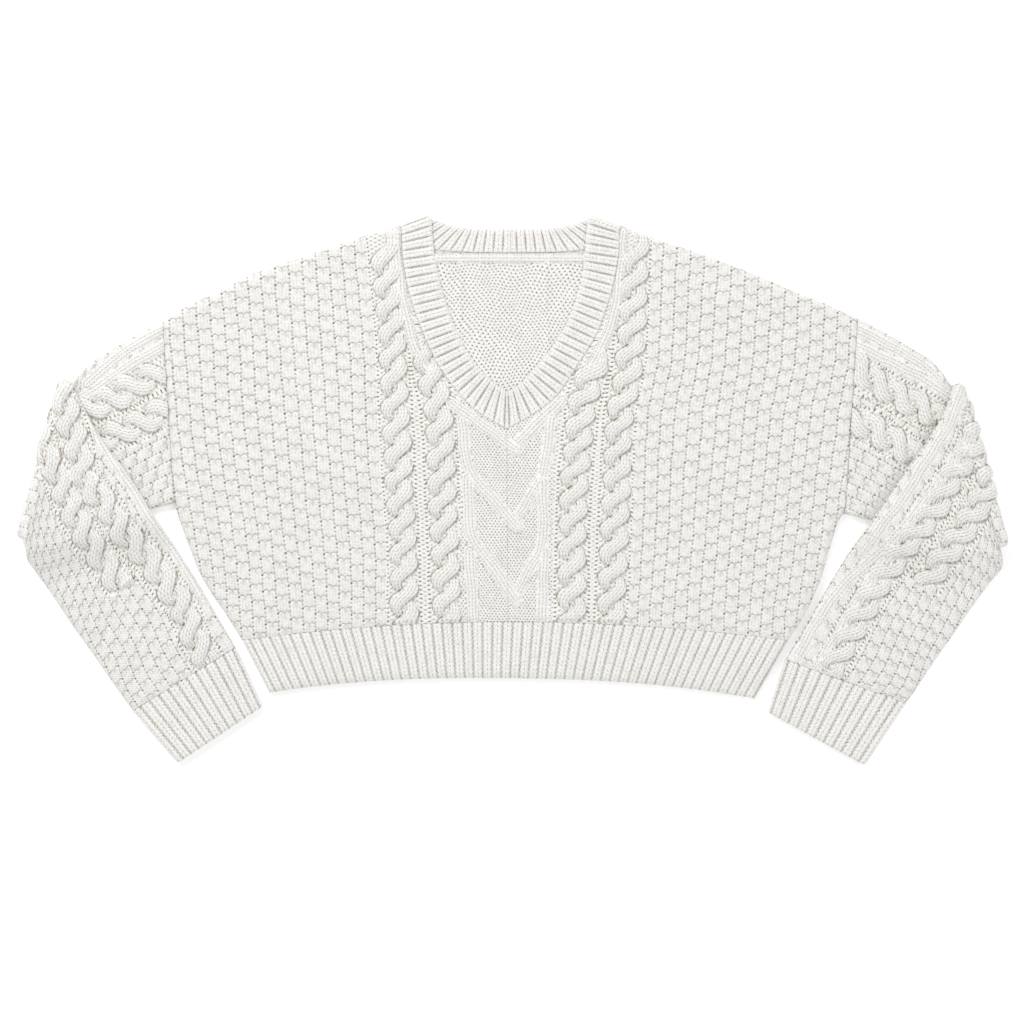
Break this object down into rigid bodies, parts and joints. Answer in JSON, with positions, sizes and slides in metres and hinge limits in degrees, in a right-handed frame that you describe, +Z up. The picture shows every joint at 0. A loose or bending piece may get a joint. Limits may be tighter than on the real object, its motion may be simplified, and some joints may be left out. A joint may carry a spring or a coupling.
{
  "type": "cropped knit sweater",
  "caption": "Cropped cable-knit sweater with a V neck and dropped shoulders, laid flat with both sleeves folded in at the elbow.",
  "frame": {"origin": "middle of the garment's outline, on the surface it lies on", "axes": "+Z up out of the front, +Y towards the neck, +X to the right as the front is looked at"},
  "size_m": [0.9896, 0.5507, 0.0201],
  "materials": {
    "knit": "chunky off-white cable and basket knit, matt, slightly fuzzy",
    "rib": "off-white knitted rib, matt, slightly fuzzy"
  },
  "bodies": {
    "root": {"front_panel": "knit", "back_panel": "knit", "front_hem_rib": "rib", "back_hem_rib": "rib", "neckband": "rib", "left_sleeve": "knit", "right_sleeve": "knit", "left_cuff": "rib", "right_cuff": "rib"}
  },
  "joints": []
}
